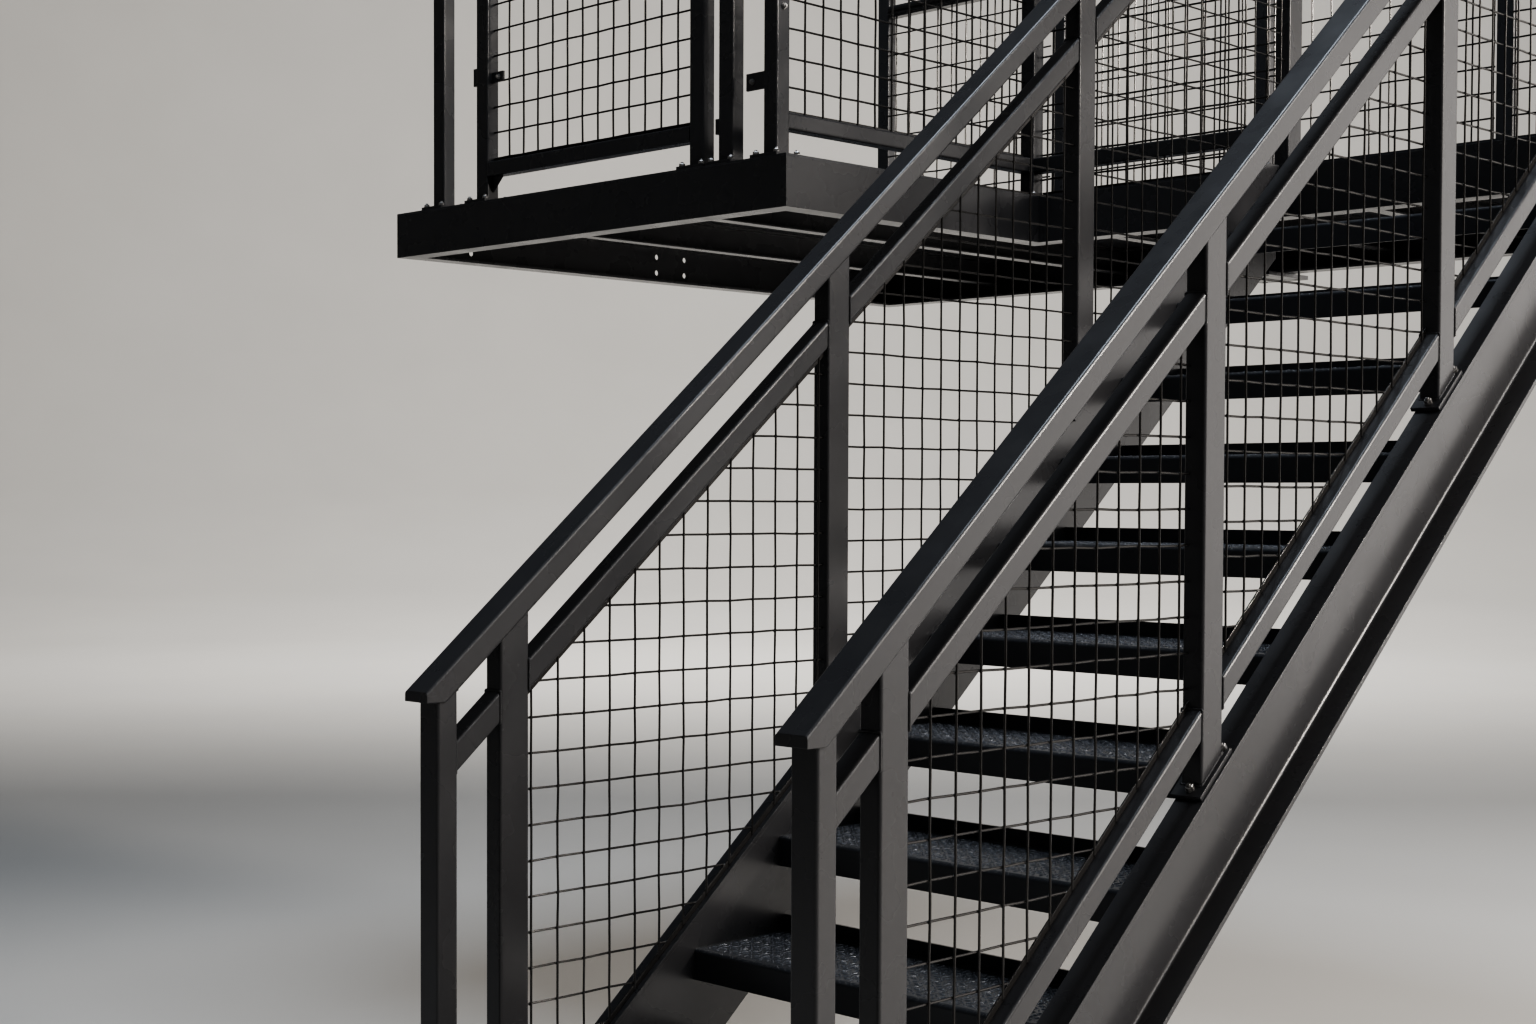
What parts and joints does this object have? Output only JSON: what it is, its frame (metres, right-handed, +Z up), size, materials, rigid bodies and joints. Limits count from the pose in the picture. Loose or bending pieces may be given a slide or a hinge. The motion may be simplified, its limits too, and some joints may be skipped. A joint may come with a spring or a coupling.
{
  "type": "fire escape stair with landing",
  "caption": "Outside steel stair: a straight flight with open risers and mesh balustrades, climbing to an L-shaped landing with mesh guards that is fixed to a wall.",
  "frame": {"origin": "middle of the foot plate's underside, on the ground between the stringers", "axes": "+Z up, +Y the way the flight climbs, +X to the right of someone going up"},
  "size_m": [3.186, 4.038, 3.3686],
  "materials": {
    "anthracite_paint": "satin",
    "tread_plate": "satin, worn",
    "mesh_wire": "satin"
  },
  "bodies": {
    "root": {"foot_plate": "anthracite_paint", "stringer_left": "anthracite_paint", "stringer_right": "anthracite_paint", "tread_01": "tread_plate", "tread_02": "tread_plate", "tread_03": "tread_plate", "tread_04": "tread_plate", "tread_05": "tread_plate", "tread_06": "tread_plate", "tread_07": "tread_plate", "tread_08": "tread_plate", "tread_09": "tread_plate", "tread_10": "tread_plate", "tread_11": "tread_plate", "tread_12": "tread_plate", "posts_left": "anthracite_paint", "handrail_left": "anthracite_paint", "mid_rails_left": "anthracite_paint", "low_rails_left": "anthracite_paint", "mesh_left_1": "mesh_wire", "mesh_left_2": "mesh_wire", "mesh_left_3": "mesh_wire", "posts_right": "anthracite_paint", "handrail_right": "anthracite_paint", "mid_rails_right": "anthracite_paint", "low_rails_right": "anthracite_paint", "mesh_right_1": "mesh_wire", "mesh_right_2": "mesh_wire", "mesh_right_3": "mesh_wire", "edge_balcony": "anthracite_paint", "edge_return": "anthracite_paint", "edge_front": "anthracite_paint", "edge_side": "anthracite_paint", "edge_back": "anthracite_paint", "edge_wall": "anthracite_paint", "joists": "anthracite_paint", "deck_balcony": "tread_plate", "deck_landing": "tread_plate", "deck_head": "tread_plate", "posts_balcony": "anthracite_paint", "posts_return": "anthracite_paint", "posts_back": "anthracite_paint", "handrail_balcony": "anthracite_paint", "handrail_return": "anthracite_paint", "handrail_front": "anthracite_paint", "handrail_side": "anthracite_paint", "handrail_back": "anthracite_paint", "panel_rails_balcony": "anthracite_paint", "panel_rails_front": "anthracite_paint", "panel_rails_back": "anthracite_paint", "mesh_balcony": "mesh_wire", "mesh_return": "mesh_wire", "mesh_front": "mesh_wire", "mesh_side": "mesh_wire", "mesh_back_1": "mesh_wire", "mesh_back_2": "mesh_wire", "bearing_plates": "anthracite_paint"}
  },
  "joints": []
}
